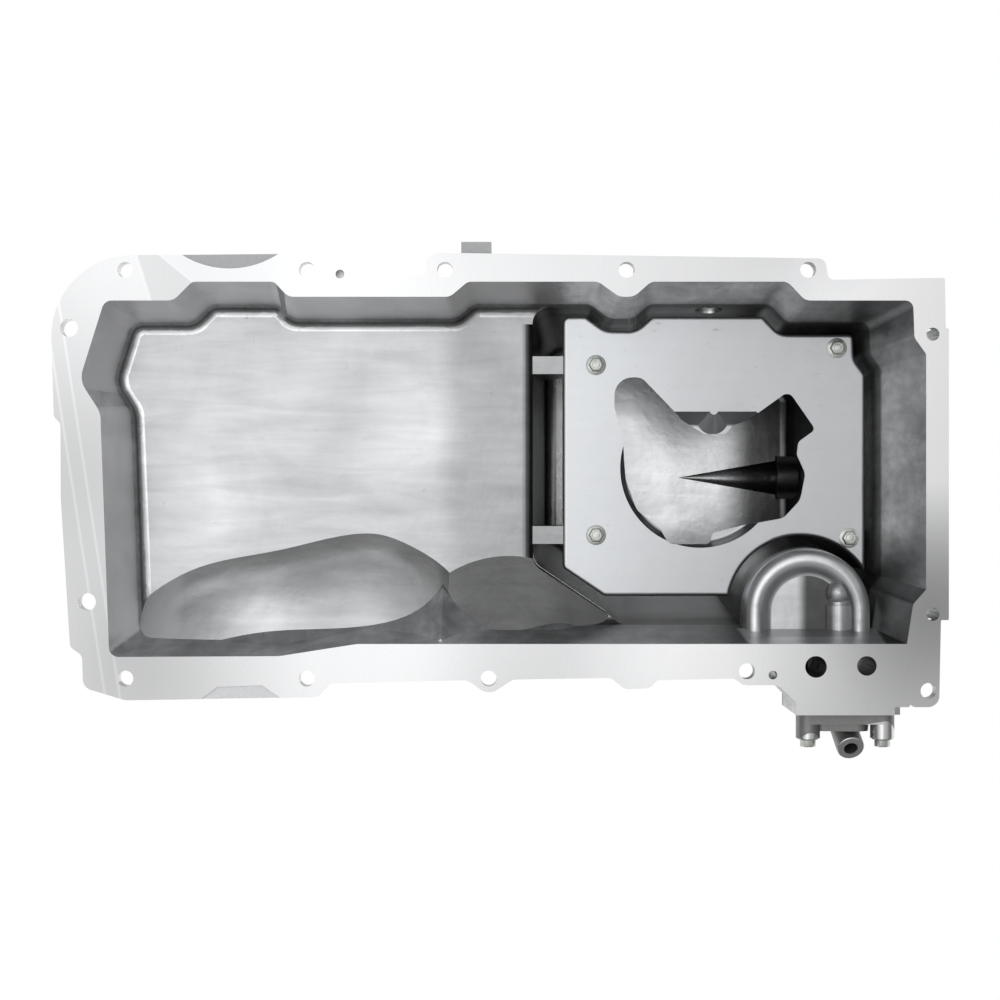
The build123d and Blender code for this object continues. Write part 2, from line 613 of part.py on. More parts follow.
with BuildPart() as pan_casting:
    # Rail
    with BuildSketch():
        make_face(rounded_edges([c[:2] for c in rail_outline], [c[2] for c in rail_outline]))
    extrude(amount=-rail_thickness)
    add(tray_body.part)
    add(sump_body.part)
    # Passage block beside the turret, with its machined side face
    with BuildSketch(Plane.XY.offset(-block_top)):
        with BuildLine():
            block_front_x = turret_x - alcove_r - block_margin
            block_rear_x = side_face_x[1] + block_flare
            Polyline((block_front_x, -opening_y + 10), (block_front_x, -opening_y - 2.5),
                     (lower_fourth_x + 18.0, -row_y - 2), (side_face_x[0], side_face_y + block_flare),
                     (side_face_x[0], side_face_y), (side_face_x[1], side_face_y),
                     (side_face_x[1], side_face_y + block_flare), (block_rear_x, -row_y),
                     (block_rear_x, -opening_y + 10), close=True)
        make_face()
    extrude(amount=block_top - block_bottom)
    with BuildSketch(filter_face):
        Circle(annulus_outer + 7)
    extrude(amount=-6)
    # Pad for the clutch housing, across the rear wall
    with BuildSketch(Plane.XZ):
        with BuildLine():
            Polyline((opening_rear_x - 12, -rear_pad_top), (rear_face_x, -rear_pad_top),
                     (rear_face_x, -rear_pad_depth),
                     (rear_face_x - rear_pad_slope - 2, -rear_pad_depth - rear_pad_slope),
                     (opening_rear_x - 36, -rear_pad_depth - rear_pad_tail), close=True)
        make_face()
    extrude(amount=rear_face_half, both=True)
    # Lug on the upper side
    with BuildSketch(Plane.YZ.offset(lug_x[0])):
        with BuildLine():
            Polyline((bay_y - 6, -lug_top), (lug_y, -lug_top - 0.8), (lug_y, -lug_top - lug_end_height),
                     (lug_y - 16, -lug_bottom), (bay_y - 8, -lug_bottom), close=True)
        make_face()
    extrude(amount=lug_x[1] - lug_x[0])
    # Bosses outside the oil level port and the drain
    with BuildSketch(level_face):
        Circle(level_boss_r)
    extrude(amount=level_inner_y - level_face_y)
    with BuildSketch(drain_face):
        Circle(drain_boss_r)
    extrude(amount=-16)
    # Webs under the tray and behind the sump
    for y in tray_webs_y:
        add(web_plate(y, [(front_x + 10, -tray_depth - 1), (sump_front_x + 8, -tray_depth - 1),
                          (sump_front_x + 14, -sump_depth + tray_web_foot),
                          (sump_front_x + 5, -sump_depth + tray_web_foot),
                          (sump_front_x - 12, -tray_depth - 24), (front_x + 24, -tray_depth - 11)]))
    for y in rear_webs_y:
        add(web_plate(y, [(rear_face_x - 4, -rear_pad_depth + 6), (opening_rear_x - 14, -rear_pad_depth),
                          (opening_rear_x - 35, -rear_pad_depth - rear_web_length),
                          (opening_rear_x - 29, -rear_pad_depth - rear_web_length - 4),
                          (rear_face_x - 10, -rear_pad_depth - 18)]))
    # Keel under the drain groove, and the skid ribs that the sump rests on
    with BuildSketch(Plane.XY.offset(-sump_depth - 3)):
        with BuildLine():
            Polyline((groove_tip_x - 16, drain_y - keel_end_half), (drain_seat_x - 3, drain_y - drain_boss_r),
                     (drain_seat_x - 3, drain_y + drain_boss_r), (groove_tip_x - 16, drain_y + keel_end_half),
                     close=True)
        make_face()
        for y, front_end, rear_end in skid_ribs:
            with Locations(((front_end + rear_end) / 2, y)):
                Rectangle(rear_end - front_end, skid_width)
    extrude(amount=sump_depth + 3 - keel_depth, taper=4)
    add(core.part, mode=Mode.SUBTRACT)
    add(bosses.part)
    add(gallery.part)
    add(alcove.part, mode=Mode.SUBTRACT)
    with BuildSketch(filter_face):
        Circle(annulus_outer + 7)
    extrude(amount=-4)

    # Rail bolt holes
    with BuildSketch():
        with Locations(m8_bolts):
            Circle(rail_hole_d / 2)
        with Locations(nose_bolts):
            Circle(nose_hole_d / 2)
        with Locations(rear_bolts):
            Circle(rear_hole_d / 2)
        with Locations((lower_last_x - 10.3, -row_y - 17.6)):
            Circle(1.6)
    extrude(amount=-rear_pad_depth - 30, mode=Mode.SUBTRACT)
    with BuildSketch():
        with Locations(clip_holes):
            Circle(clip_hole_d / 2)
    extrude(amount=-clip_hole_depth, mode=Mode.SUBTRACT)
    # As-cast dips in the rail's outer edges, below the machined face
    with BuildSketch():
        with Locations((front_x + 64.1, row_y + 55.6)):
            Circle(54.8)
        with BuildLine():
            Polyline((front_x + 42.9, -edge - 5), (front_x + 56.8, -row_y - 5.1),
                     (front_x + 84.4, -row_y - 4.1), (front_x + 100.1, -edge - 5), close=True)
        make_face()
    extrude(amount=-1.5, mode=Mode.SUBTRACT)

    # Oil passages
    with BuildSketch():
        with Locations(return_port):
            Circle(return_port_r)
    extrude(amount=-return_depth - 3, mode=Mode.SUBTRACT)
    with BuildSketch():
        with Locations(feed_port):
            Circle(feed_port_r)
    extrude(amount=-feed_depth - 3, mode=Mode.SUBTRACT)
    with BuildSketch(side_face):
        with Locations((return_port[0], -return_depth)):
            Circle(return_r)
    extrude(amount=side_face_y - turret_y - return_r, mode=Mode.SUBTRACT)
    with BuildSketch(side_face):
        with Locations((return_port[0], -return_depth)):
            Circle(cup_plug_r)
    extrude(amount=-cup_plug_depth, mode=Mode.SUBTRACT)
    with BuildSketch(side_face):
        with Locations((feed_x, -feed_depth)):
            Circle(feed_r)
    extrude(amount=side_face_y - gallery_ball_y, mode=Mode.SUBTRACT)
    with BuildSketch(Plane.XY.offset(-pad_depth)):
        with Locations((feed_x, turret_y)):
            Circle(feed_r - 0.5)
    extrude(amount=pad_depth - feed_depth, mode=Mode.SUBTRACT)
    with BuildSketch(side_face):
        with Locations((valve_x, -valve_depth)):
            Circle(valve_bore_r)
    extrude(amount=-valve_bore_length, mode=Mode.SUBTRACT)
    with BuildSketch(side_face):
        with Locations((valve_x, -valve_depth)):
            Circle(valve_link_r)
    extrude(amount=side_face_y - return_port[1], mode=Mode.SUBTRACT)
    # Filter face: countersunk nipple hole and annular groove
    with BuildSketch(filter_face):
        Circle(nipple_seat_r + tapped_clearance)
    extrude(amount=-nipple_seat, mode=Mode.SUBTRACT)
    with BuildSketch(filter_face):
        Circle(nipple_radius + nipple_lead)
    extrude(amount=-(nipple_radius + nipple_lead - nipple_seat_r), taper=45, mode=Mode.SUBTRACT)
    with BuildSketch(filter_face):
        Circle(annulus_outer)
        Circle(annulus_inner, mode=Mode.SUBTRACT)
    extrude(amount=-annulus_height, mode=Mode.SUBTRACT)
    # Tapped holes for the cover, the baffle plate and the clutch housing
    with BuildSketch(side_face):
        with Locations([(x, -cover_bolt_depth) for x in cover_bolts_x]):
            Circle(m6_r + tapped_clearance)
    extrude(amount=-cover_bolt_grip - 3, mode=Mode.SUBTRACT)
    with BuildSketch(Plane.XY.offset(-pillar_top)):
        with Locations(baffle_bolts):
            Circle(m6_r + tapped_clearance)
    extrude(amount=-baffle_bolt_length - 2, mode=Mode.SUBTRACT)
    with BuildSketch(Plane.YZ.offset(rear_face_x)):
        with Locations((housing_hole_y, -housing_hole_depth), (-housing_hole_y, -housing_hole_depth)):
            Circle(housing_hole_r)
    extrude(amount=-housing_hole_length, mode=Mode.SUBTRACT)
    # Drain hole with its tapered groove, and the oil level port
    with BuildSketch(drain_face):
        Circle(drain_r + tapped_clearance)
    extrude(amount=drain_boss_inner_x - drain_seat_x - 2, mode=Mode.SUBTRACT)
    groove_run = Vector(drain_boss_inner_x - groove_tip_x, 0, sump_depth - drain_depth + 7)
    with BuildSketch(Plane(origin=(groove_tip_x, drain_y, -sump_depth), z_dir=groove_run)):
        Circle(0.1)
    with BuildSketch(Plane(origin=(groove_tip_x, drain_y, -sump_depth), z_dir=groove_run).offset(groove_run.length)):
        Circle(groove_end_r)
    loft(ruled=True, mode=Mode.SUBTRACT)
    with BuildSketch(level_face):
        Circle(level_r + tapped_clearance)
    extrude(amount=level_inner_y - level_face_y, mode=Mode.SUBTRACT)

finish(pan_casting.part, "pan_casting")

# Baffle plate: pressed sheet with turned-down edges, a drawn dish and the pickup opening
plate_gaps = [baffle_lower_gap] + [baffle_gap] * (len(sump_outline) - 3) + [baffle_front_gap, baffle_corner_gap]
plate_drafts = [tan(radians(corner[3])) * baffle_depth for corner in sump_outline]
plate_cut_r = turret_foot_radius - 4 + baffle_turret_gap


def plate_block(inset, top, bottom):
    # Plate outline, moved in by a sheet thickness for the hollow under it
    corners = moved_corners(sump_outline, [d + g + inset for d, g in zip(plate_drafts, plate_gaps)])
    with BuildPart() as block:
        with BuildSketch(Plane.XY.offset(-top)):
            make_face(rounded_edges(corners, radii_at(sump_outline, -baffle_gap - inset, 0, 3.5 - inset)))
            with Locations((turret_x, turret_y)):
                Circle(plate_cut_r + inset, mode=Mode.SUBTRACT)
        extrude(amount=top - bottom)
        fillet(block.faces().sort_by(Axis.Z)[-1].edges(), radius=baffle_bend - inset)
    return block.part


def dish_block(grow, drop):
    # Drawn dish, flattened on one side, where a half-cone flute stands against its wall
    with BuildPart() as dish:
        for depth, inset, chord_inset in (
                (baffle_depth + drop - 0.5, 0, 0),
                (baffle_depth + drop + dish_depth, dish_side_run, dish_chord_run)):
            with BuildSketch(Plane.XY.offset(-depth)):
                with Locations(dish_centre):
                    Circle(dish_radius - inset + grow)
                with Locations((dish_centre[0], dish_chord_y - chord_inset + grow)):
                    Rectangle(3 * dish_radius, dish_radius, align=(Align.CENTER, Align.MIN),
                              mode=Mode.SUBTRACT)
        loft(ruled=True)
        fillet(dish.faces().sort_by(Axis.Z)[0].edges(), radius=2.5 + grow)
    with BuildPart() as flute:
        with BuildSketch(Plane.XY.offset(-baffle_depth - dish_depth - drop - 1)):
            with Locations((flute_x, dish_chord_y - flute_run)):
                Circle(flute_r - grow)
        with BuildSketch(Plane.XY.offset(-baffle_depth - drop)):
            with Locations((flute_x, dish_chord_y)):
                Circle(flute_tip_r - grow)
        loft(ruled=True)
    with BuildPart() as shaped:
        add(dish.part)
        add(flute.part, mode=Mode.SUBTRACT)
    return shaped.part


with BuildPart() as baffle_plate:
    add(plate_block(0, baffle_depth, baffle_depth + baffle_lip))
    add(plate_block(baffle_gauge, baffle_depth + baffle_gauge, baffle_depth + baffle_lip + 1),
        mode=Mode.SUBTRACT)
    add(dish_block(baffle_gauge, baffle_gauge))
    add(dish_block(0, 0), mode=Mode.SUBTRACT)
    with BuildSketch(Plane.XY.offset(-baffle_depth + 1)):
        corners = [(dish_centre[0] + x, dish_centre[1] + y) for x, y, radius in pickup_outline]
        make_face(rounded_edges(corners, [radius for x, y, radius in pickup_outline]))
    extrude(amount=-dish_depth - 6, mode=Mode.SUBTRACT)
    with BuildSketch(Plane.XY.offset(-baffle_depth + 1)):
        with Locations(baffle_bolts):
            Circle(m6_r + 0.3)
    extrude(amount=-5, mode=Mode.SUBTRACT)
    # The turned-down front edge is relieved over the two bridge ribs
    for x, y in front_pillars:
        with BuildSketch(Plane.XY.offset(-baffle_depth - baffle_lip - 1)):
            with Locations((sump_front_x + baffle_front_gap + 8, y)):
                Rectangle(16, bridge_width + 6)
        extrude(amount=baffle_lip + 1 - baffle_gauge, mode=Mode.SUBTRACT)
finish(baffle_plate.part, "baffle_plate")

for number, spot in enumerate(baffle_bolts, 1):
    seat = Plane(origin=(*spot, -baffle_depth))
    bolt = flange_bolt(seat, m6_r, baffle_bolt_length, m6_hex, m6_flange_r, m6_flange, m6_head)
    finish(bolt, f"baffle_bolt_{number}")

# Side cover over the oil passages, with its hose port
ear_spots = [(x, -cover_bolt_depth, cover_ear_r) for x in cover_bolts_x]
chamber_shape = hull_of([(x, z, chamber_r) for x, z in chamber_spots])
housing_shape = hull_of([(x, z, chamber_r + chamber_wall) for x, z in chamber_spots]
                        + [(port_tip[0] + 4, -cover_bolt_depth - 6, chamber_r)])
flange_shape = hull_of(ear_spots)
gasket_face = side_face.offset(gasket_thickness)
port_axis = Vector(*port_tip) - Vector(*port_base)

with BuildPart() as hose_port:
    with BuildSketch(Plane(origin=port_base, z_dir=port_axis)):
        Circle(port_r)
    extrude(amount=port_axis.length)
    fillet(hose_port.edges().sort_by(Axis.Z)[-1], radius=0.8)

with BuildPart() as passage_cover:
    with BuildSketch(gasket_face):
        add(flange_shape)
        add(housing_shape)
    extrude(amount=cover_plate)
    with BuildSketch(gasket_face):
        with Locations([(x, -cover_bolt_depth) for x in cover_bolts_x]):
            Circle(cover_ear_r)
    extrude(amount=cover_ear_length)
    with BuildSketch(gasket_face):
        add(housing_shape)
    extrude(amount=cover_dome, taper=6)
    add(hose_port.part)
    with BuildSketch(gasket_face):
        add(chamber_shape)
    extrude(amount=chamber_height, mode=Mode.SUBTRACT)
    with BuildSketch(Plane(origin=port_tip, z_dir=-port_axis)):
        Circle(port_bore_r)
    extrude(amount=port_bore_length, mode=Mode.SUBTRACT)
    with BuildSketch(gasket_face):
        with Locations([(x, -cover_bolt_depth) for x in cover_bolts_x]):
            Circle(m6_r + 0.3)
    extrude(amount=cover_ear_length + 1, mode=Mode.SUBTRACT)
finish(passage_cover.part, "passage_cover")

with BuildPart() as cover_gasket:
    with BuildSketch(side_face):
        add(flange_shape)
        add(housing_shape)
        add(chamber_shape, mode=Mode.SUBTRACT)
        with Locations([(x, -cover_bolt_depth) for x in cover_bolts_x]):
            Circle(m6_r + 0.3, mode=Mode.SUBTRACT)
    extrude(amount=gasket_thickness)
finish(cover_gasket.part, "cover_gasket")

for number, x in enumerate(cover_bolts_x, 1):
    seat = Plane(origin=(x, side_face_y - gasket_thickness - cover_ear_length, -cover_bolt_depth),
                 x_dir=(1, 0, 0), z_dir=(0, -1, 0))
    grip = cover_bolt_grip + cover_ear_length + gasket_thickness
    bolt = flange_bolt(seat, m6_r, grip, m6_hex, m6_flange_r, m6_flange, m6_head)
    finish(bolt, f"cover_bolt_{number}")

# Filter nipple: a threaded tube that stands out of the filter face, on a thinner seat
with BuildPart() as filter_nipple:
    add(ring(filter_face.offset(-nipple_seat), nipple_seat_r, nipple_bore, nipple_seat + nipple_neck))
    add(ring(filter_face.offset(nipple_neck), nipple_radius, nipple_bore, nipple_reach - nipple_neck))
finish(filter_nipple.part, "filter_nipple")

# Cup plug in the end of the return gallery
with BuildPart() as cup_plug:
    with BuildSketch(side_face.offset(-cup_plug_depth)):
        with Locations((return_port[0], -return_depth)):
            Circle(cup_plug_r)
    extrude(amount=cup_plug_depth - 0.3)
    with BuildSketch(side_face):
        with Locations((return_port[0], -return_depth)):
            Circle(cup_plug_r - 1.2)
    extrude(amount=-cup_plug_depth + 1.2, mode=Mode.SUBTRACT)
finish(cup_plug.part, "gallery_cup_plug")

# Bypass valve: seat ring, disc and coil spring, in line along +Y behind the cover
valve_mouth = Plane(origin=(valve_x, side_face_y, -valve_depth), x_dir=(-1, 0, 0), z_dir=(0, 1, 0))
finish(ring(valve_mouth.offset(valve_seat_inset), valve_bore_r, valve_seat_hole_r, valve_seat_length),
       "bypass_valve_seat")
disc_plane = valve_mouth.offset(valve_seat_inset + valve_seat_length + valve_rest_gap)
with BuildPart() as valve_disc:
    with BuildSketch(disc_plane):
        Circle(valve_bore_r - valve_play)
    extrude(amount=valve_disc_length / 2)
    with BuildSketch(disc_plane):
        Circle(spring_radius - spring_wire)
    extrude(amount=valve_disc_length)
finish(valve_disc.part, "bypass_valve_disc")

spring_start = valve_seat_inset + valve_seat_length + valve_rest_gap + valve_disc_length / 2 + spring_wire / 2
spring_height = valve_bore_length - spring_start - spring_wire / 2
spring_plane = valve_mouth.offset(spring_start)
with BuildPart() as valve_spring:
    with BuildLine() as coil:
        Helix(pitch=spring_height / spring_turns, height=spring_height, radius=spring_radius,
              center=spring_plane.origin, direction=spring_plane.z_dir)
    with BuildSketch(Plane(origin=coil.line @ 0, z_dir=coil.line % 0)):
        Circle(spring_wire / 2)
    sweep()
finish(valve_spring.part, "bypass_valve_spring")

# Drain plug and oil level plug, each on its sealing ring
for label, face, radius, length, hexagon, flange_r, head in (
        ("drain_plug", drain_face, drain_r, plug_length, plug_hex, plug_flange_r, plug_head),
        ("level_port_plug", level_face, level_r, level_plug_length, level_hex, level_flange_r, level_head)):
    seat = face.offset(seal_thickness)
    finish(flange_bolt(seat, radius, length, hexagon, flange_r, plug_flange, head), label)
    finish(ring(face, flange_r - 0.5, radius + 0.2, seal_thickness), label + "_seal")
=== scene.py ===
# Cast oil pan for a vee engine: finishes, bolts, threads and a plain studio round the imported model
import math

import bmesh
import bpy
from mathutils import Matrix, Vector


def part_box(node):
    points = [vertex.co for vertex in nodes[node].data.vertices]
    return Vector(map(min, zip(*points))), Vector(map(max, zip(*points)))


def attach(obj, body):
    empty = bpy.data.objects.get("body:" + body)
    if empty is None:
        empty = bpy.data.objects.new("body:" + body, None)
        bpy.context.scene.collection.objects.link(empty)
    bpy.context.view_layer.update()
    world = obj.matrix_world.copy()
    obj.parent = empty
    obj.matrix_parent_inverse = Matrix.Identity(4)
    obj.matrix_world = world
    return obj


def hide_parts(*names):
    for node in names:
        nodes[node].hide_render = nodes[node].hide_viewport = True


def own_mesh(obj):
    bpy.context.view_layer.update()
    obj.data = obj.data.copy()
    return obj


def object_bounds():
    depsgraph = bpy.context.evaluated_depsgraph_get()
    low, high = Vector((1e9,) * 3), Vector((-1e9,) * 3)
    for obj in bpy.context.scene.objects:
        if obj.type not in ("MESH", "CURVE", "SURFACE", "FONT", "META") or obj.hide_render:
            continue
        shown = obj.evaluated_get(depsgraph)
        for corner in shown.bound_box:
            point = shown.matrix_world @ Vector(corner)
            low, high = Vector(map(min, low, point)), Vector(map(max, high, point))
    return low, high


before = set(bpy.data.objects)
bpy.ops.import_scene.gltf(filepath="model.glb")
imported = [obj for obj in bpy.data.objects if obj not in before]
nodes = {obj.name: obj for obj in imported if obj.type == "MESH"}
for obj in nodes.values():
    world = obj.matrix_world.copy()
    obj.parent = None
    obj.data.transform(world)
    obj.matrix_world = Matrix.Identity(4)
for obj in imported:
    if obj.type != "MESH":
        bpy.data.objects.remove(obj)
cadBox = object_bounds()
mm = 0.001
print("stage: frame loaded,", len(nodes), "nodes")


# A number that varies over a surface; Python's operators add Math nodes to its finish
class Amount:
    def __init__(self, finish, socket):
        self.finish = finish
        self.socket = socket

    def join(self, operation, first, second):
        return self.finish.node("ShaderNodeMath", {"operation": operation}, {0: first, 1: second})

    def __add__(self, other):
        return self.join("ADD", self, other)

    def __sub__(self, other):
        return self.join("SUBTRACT", self, other)

    def __mul__(self, other):
        return self.join("MULTIPLY", self, other)

    def __radd__(self, other):
        return self.join("ADD", other, self)

    def __rsub__(self, other):
        return self.join("SUBTRACT", other, self)

    def __rmul__(self, other):
        return self.join("MULTIPLY", other, self)


# A procedural finish; lengths inside it are in millimetres of the part's own frame
class Finish:
    def __init__(self, name, tree=None):
        if tree is None:
            self.material = bpy.data.materials.new(name)
            self.material.use_nodes = True
            tree = self.material.node_tree
        tree.nodes.clear()
        self.tree = tree

    def node(self, kind, settings=None, inputs=None, output=0):
        made = self.tree.nodes.new(kind)
        for key, value in (settings or {}).items():
            setattr(made, key, value)
        for key, value in (inputs or {}).items():
            if isinstance(value, Amount):
                self.tree.links.new(value.socket, made.inputs[key])
            else:
                made.inputs[key].default_value = value
        return Amount(self, made.outputs[output]) if len(made.outputs) else None

    def place(self):
        # Where the surface is, in millimetres
        here = self.node("ShaderNodeTexCoord", output=3)
        return self.node("ShaderNodeVectorMath", {"operation": "SCALE"}, {0: here, "Scale": 1 / mm})

    def parts(self, vector):
        return [self.node("ShaderNodeSeparateXYZ", None, {0: vector}, output=i) for i in range(3)]

    def facing(self):
        return self.parts(self.node("ShaderNodeNewGeometry", output=1))

    def between(self, value, low, high):
        # 0 at low, 1 at high, smooth in between
        return self.node("ShaderNodeMapRange", {"interpolation_type": "SMOOTHSTEP"},
                         {0: value, 1: low, 2: high, 3: 0.0, 4: 1.0})

    def distance(self, first, spot):
        return self.node("ShaderNodeVectorMath", {"operation": "DISTANCE"}, {0: first, 1: (*spot, 0)},
                         output=1)

    def patches(self, flat, spots):
        # Round soft patches: the gain is all there at a patch's middle and gone at its reach
        share = 1
        for spot, reach, gain in spots:
            share = share * (1 + gain * self.between(self.distance(flat, spot), reach, 0))
        return share

    def noise(self, size, detail=3.0, rough=0.55, stretch=(1, 1, 1), twist=0.0, start=(0, 0, 0)):
        # Cloudy pattern with features of about this size
        spot = self.node("ShaderNodeVectorMath", {"operation": "MULTIPLY_ADD"},
                         {0: self.place(), 1: stretch, 2: start})
        return self.node("ShaderNodeTexNoise", None, {
            "Vector": spot, "Scale": 1 / size, "Detail": detail, "Roughness": rough, "Distortion": twist})

    def most(self, first, second):
        return self.node("ShaderNodeMath", {"operation": "MAXIMUM"}, {0: first, 1: second})

    def uneven(self, pattern, swing):
        # 1 where the pattern is half way, and this much apart from its lowest to its highest
        return 1 - swing / 2 + swing * pattern

    def keep(self, share, where):
        # This share where something is, and 1 elsewhere
        return 1 - (1 - share) * where

    def blend(self, share, first, second):
        # From first to second, for numbers
        return first + share * (second - first)

    def mix(self, share, first, second):
        # From first to second, for colours
        colours = [c if isinstance(c, Amount) else (*c, 1) for c in (first, second)]
        return self.node("ShaderNodeMix", {"data_type": "RGBA"},
                         {0: share, 6: colours[0], 7: colours[1]}, output=2)

    def grey(self, value, tint):
        # A number as a grey with a slight tint
        return self.node("ShaderNodeVectorMath", {"operation": "SCALE"}, {0: tint, "Scale": value})

    def bump(self, height, depth=1.0):
        # Heights times depth are millimetres
        return self.node("ShaderNodeBump", None, {
            "Height": height, "Distance": depth * mm, "Strength": 1.0})

    def surface(self, colour, roughness, metallic, normal):
        shader = self.node("ShaderNodeBsdfPrincipled", None, {
            "Base Color": colour, "Roughness": roughness, "Metallic": metallic, "Normal": normal})
        self.node("ShaderNodeOutputMaterial", None, {0: shader})
        return self.material


def dress(nodeName, material):
    for slot in nodes[nodeName].material_slots:
        slot.material = material


# Pan casting: machined rail and seats, smooth cast inside, grainy cast outside. A pair says where something
# starts and where it is complete, in millimetres or as how far a face looks up. A patch is its place, its
# reach and its gain. Tones are greys, and a tone below 1 on a foot, gap or recess is the share that is kept.
castLooks = {
    # Machined faces
    "levelFace": (0.75, 0.93), "railFace": (-0.7, -0.3), "coverFace": (-147.9, -148.2),
    "coverFaceFoot": (-66, -65), "rearFace": (450.5, 450.8),
    "ports": ((369.2, -118.6), (400.5, -118.0)), "portWall": (7.6, 7.2), "portFloor": (-56, -52),
    "machined": 0.71, "cutterCentre": (-620.0, 160.0), "cutterScale": 1.6, "cutterMarks": 0.08,
    "bands": {"size": 90, "detail": 3, "rough": 0.5, "stretch": (1, 0.3, 1)}, "bandMarks": 0.2,
    "markBase": 0.86, "cutRoughness": 0.24, "markRougher": 0.12, "cutterDepth": 0.004,
    "portShade": 0.55, "portDark": (-1, -4), "machinedTint": (0.995, 1, 1.01),
    # The cutter overlapped itself across the front corner, between two pale lines, and left two trails
    "overlapFirst": (0.316, -6.4), "overlapSecond": (1.2, 127.1), "overlapCorner": (88, 92),
    "trail": (0.155, -89.5), "trailGap": 9.0, "overlapShade": 0.14, "lineGain": 0.14,
    "lineEdge": (1.2, 0.1),
    # Patches of painted light and shade on the machined rail
    "railPaintedShading": [((100, -125), 90, 0.1), ((300, -120), 110, 0.4), ((440, 60), 150, 0.75),
                    ((80, 130), 80, 0.1), ((440, -80), 90, -0.45), ((-90, 0), 150, -0.3),
                    ((-40, -120), 100, -0.3)],
    # Sand-cast outside, with the lug's top and the dips in the rail
    "middleX": 310.0, "sideways": 0.5, "outward": (4, 12), "underside": (-0.1, -0.25),
    "lugSide": (136.6, 137.2), "lugDepth": (-11, -12.6), "dipTop": (-0.7, -1.2), "dipFloor": (-2.4, -1.9),
    "grain": {"size": 1.1, "detail": 4, "rough": 0.7}, "grainDepth": 0.16, "skinRoughness": 0.55,
    "outside": 0.58, "skinBase": 0.78, "skinGrain": 0.32, "skinClouds": 0.16,
    "lowerDip": 1.5, "lowerRail": (0, -10), "outsideTint": (0.99, 1, 1.01),
    # Level floors and humps of the tray: level faces painted lighter than the humps, and patches of painted
    # highlight
    "floorLevel": (0.985, 0.998), "floorSlope": (0.5, 0.8), "floor": 0.49, "hump": 0.42, "floorDarker": 0.74,
    "floorDarkerFrom": (130, 152),
    "floorPaintedHighlights": [((-8, -24), 50, 0.25), ((118, 34), 52, 0.3), ((26, -92), 40, 0.55)],
    # Walls: grey, with painted light and shade, lighter at the front, darker at the rear and lower side
    "rearward": (60, 300), "frontWall": 1.5, "rearWall": 0.75, "lowerWallShade": 0.4, "lowerSide": (0.25, 0.6),
    # Patches of painted light and shade on the walls
    "wallPaintedShading": [((415, -95), 60, -0.75), ((330, -110), 60, -0.5), ((372, -118), 50, -0.6),
                    ((395, 105), 75, -0.6), ((156, -105), 50, 0.9), ((20, 110), 90, 0.25),
                    ((-80, 20), 90, 0.25)],
    # Painted shade in the foot fillet, and a painted highlight line where it meets the floor
    "footTop": -57.0, "footDepth": 4.0, "footFace": (0.86, 0.7), "foot": 0.35,
    "rimFace": (0.9, 0.95), "rimEnd": (0.999, 0.99), "rim": 2.0,
    # Sump and the gap between the tray and the baffle plate, both darkened as painted shade under the plate
    "sumpDepth": (-74, -90), "sumpLeft": 0.88, "sumpRight": 0.13, "sumpEdge": (328, 356), "sumpWallShade": 0.22,
    "gap": 0.15, "gapTo": (222, 206), "gapDepth": (-67, -69), "ribDepth": (-80, -78),
    # Turret top painted paler as a painted highlight, and painted shade in the recess inside its arched
    # ridge
    "turret": 0.7, "turretPlace": (370.2, -86.9), "turretReach": (47, 44), "turretTop": (-50, -47),
    "recess": 0.15, "recessFrom": (363, 371), "recessFloor": (-45, -45.5), "recessReach": (42, 38),
    "ridgeShade": 0.35, "ridgeReach": (34, 32), "ridgeDepth": (-20, -24),
    # Patterns inside: broad clouds, smears along the pan, stains, and blots and drag marks on the walls
    "clouds": {"size": 55, "detail": 4, "rough": 0.55, "twist": 0.5},
    "smears": {"size": 11, "detail": 4, "rough": 0.6, "stretch": (0.14, 1, 1), "twist": 0.5,
               "start": (0, 7, 0)},
    "stains": {"size": 7, "detail": 5, "rough": 0.7, "twist": 0.3, "start": (40, 7, 3)},
    "blots": {"size": 26, "detail": 4, "rough": 0.6, "stretch": (1, 1, 0.5), "twist": 0.8,
              "start": (11, 3, 40)},
    "drags": {"size": 8, "detail": 3, "rough": 0.6, "stretch": (1, 1, 0.15), "twist": 0.4,
              "start": (1, 30, 2)},
    "cloudSwing": 0.72, "smearSwing": 0.48, "blotSwing": 1.3, "dragSwing": 0.6,
    "stainFrom": (0.62, 0.8), "stainShade": 0.14, "insideTint": (0.985, 0.995, 1.01),
    "roughness": 0.24, "cloudRougher": 0.14, "stainRougher": 0.12, "smearSmoother": 0.05,
    "wallRougher": 0.12, "wallLessMetal": 0.25, "rearMoreMetal": 0.7,
    "ripples": {"size": 24, "detail": 3, "rough": 0.5, "start": (3, 9, 1)}, "insideDepth": 0.4,
    "fineRipples": {"size": 2.2, "detail": 3, "rough": 0.6}, "fineShare": 0.08,
}


